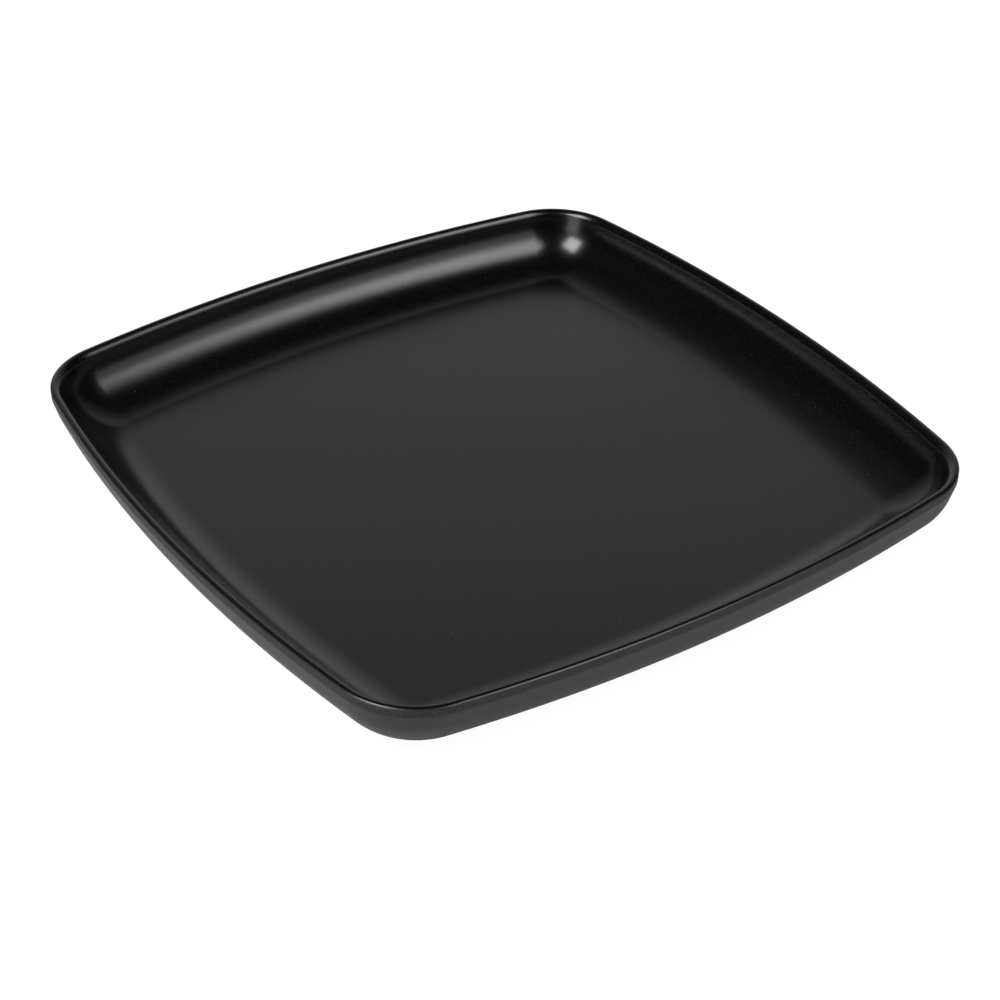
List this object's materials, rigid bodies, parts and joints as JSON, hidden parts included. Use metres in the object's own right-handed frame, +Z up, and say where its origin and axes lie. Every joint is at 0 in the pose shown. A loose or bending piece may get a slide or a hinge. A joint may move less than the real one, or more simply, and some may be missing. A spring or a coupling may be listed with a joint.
{
  "type": "square dinner plate",
  "caption": "Square dinner plate with bulging sides, rounded corners, a raised rim with a sanded edge, a flat-floored well and a foot ring, in satin black.",
  "frame": {"origin": "middle of the plate, level with the face of the foot ring", "axes": "+Z up out of the well, +X and +Y through the middles of two sides"},
  "size_m": [0.267, 0.267, 0.0251],
  "materials": {
    "moulding": "satin as moulded, sanded dull on the rim's band",
    "glaze": "smooth satin"
  },
  "bodies": {
    "root": {"body": "moulding", "glaze": "glaze"}
  },
  "joints": []
}
